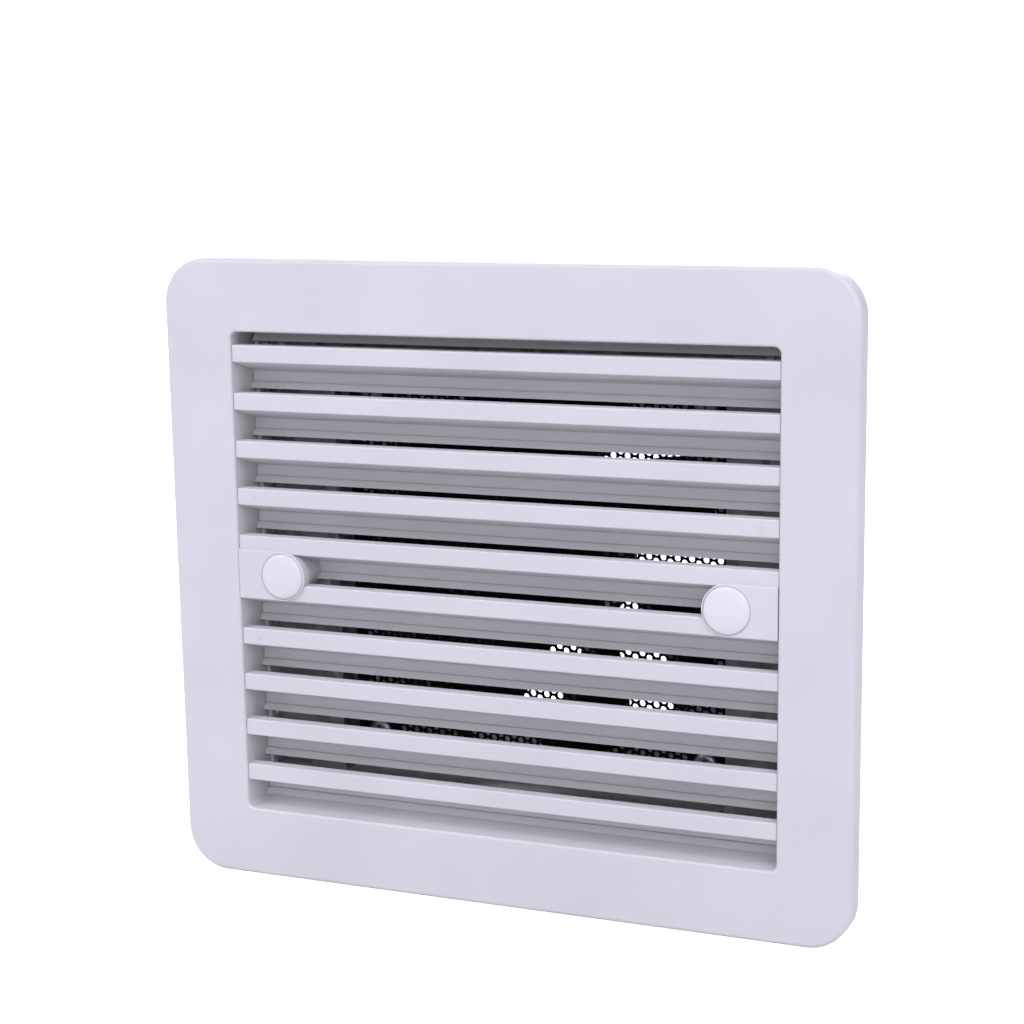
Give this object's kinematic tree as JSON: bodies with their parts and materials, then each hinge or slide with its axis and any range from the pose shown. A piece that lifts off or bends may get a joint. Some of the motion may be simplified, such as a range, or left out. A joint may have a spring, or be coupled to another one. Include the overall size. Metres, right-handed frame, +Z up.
{
  "type": "louvred wall vent cover with fan",
  "caption": "Rectangular louvred wall vent cover with a screw-held lift-out louvre insert, and behind it a sheet pan with a guarded square fan.",
  "frame": {"origin": "centre of the wall cut-out, in the plane of the wall's outer surface that the gasket lies on", "axes": "+X to the right as seen from outside, +Y into the wall, +Z up; the louvres face -Y"},
  "size_m": [0.2092, 0.0661, 0.1852],
  "materials": {
    "white_plastic": "satin moulded",
    "cap_plastic": "satin moulded",
    "gasket_foam": "closed-cell foam",
    "zinc_steel": "zinc plated",
    "galvanised_sheet": "galvanised",
    "black_sheet": "powder coated",
    "fan_plastic": "glass-filled moulded",
    "blade_plastic": "moulded",
    "cup_steel": "drawn",
    "magnet_rubber": "bonded ferrite",
    "bright_steel": "ground",
    "brass_tube": "turned",
    "core_steel": "laminated",
    "bobbin_plastic": "moulded",
    "copper_coil": "enamelled copper wire",
    "board_green": "solder resist",
    "chip_black": "moulded",
    "label_paper": "blank label",
    "terminal_plastic": "moulded"
  },
  "bodies": {
    "frame": {"front_frame": "white_plastic", "frame_gasket": "gasket_foam", "fan_pan": "galvanised_sheet", "pan_screws": "zinc_steel", "guard_mesh": "black_sheet", "fan_screws": "zinc_steel", "fan_washers": "zinc_steel", "fan_nuts": "zinc_steel", "fan_housing": "fan_plastic", "bearing_tube": "brass_tube", "front_bearing": "bright_steel", "rear_bearing": "bright_steel", "preload_spring": "bright_steel", "stator_core": "core_steel", "stator_bobbin": "bobbin_plastic", "stator_coils": "copper_coil", "circuit_board": "board_green", "hall_sensor": "chip_black", "motor_label": "label_paper", "terminal_block": "terminal_plastic", "terminal_screws": "zinc_steel", "terminal_fixing_screw": "zinc_steel"},
    "louvre": {"louvre_insert": "white_plastic", "insert_screws": "zinc_steel"},
    "cap_left": {"screw_cap_left": "cap_plastic"},
    "cap_right": {"screw_cap_right": "cap_plastic"},
    "rotor": {"impeller": "blade_plastic", "rotor_cup": "cup_steel", "rotor_magnet": "magnet_rubber", "rotor_shaft": "bright_steel", "shaft_clip": "bright_steel"}
  },
  "joints": [
    {"name": "louvre_lift_off", "type": "slide", "parent": "frame", "child": "louvre", "axis": [0, -1, 0], "range_m": [0, 0.06]},
    {"name": "cap_left_pull", "type": "slide", "parent": "louvre", "child": "cap_left", "axis": [0, -1, 0], "range_m": [0, 0.012]},
    {"name": "cap_right_pull", "type": "slide", "parent": "louvre", "child": "cap_right", "axis": [0, -1, 0], "range_m": [0, 0.012]},
    {"name": "fan_spin", "type": "hinge", "parent": "frame", "child": "rotor", "pos_m": [0, 0.035, 0], "axis": [0, 1, 0], "continuous": true}
  ]
}
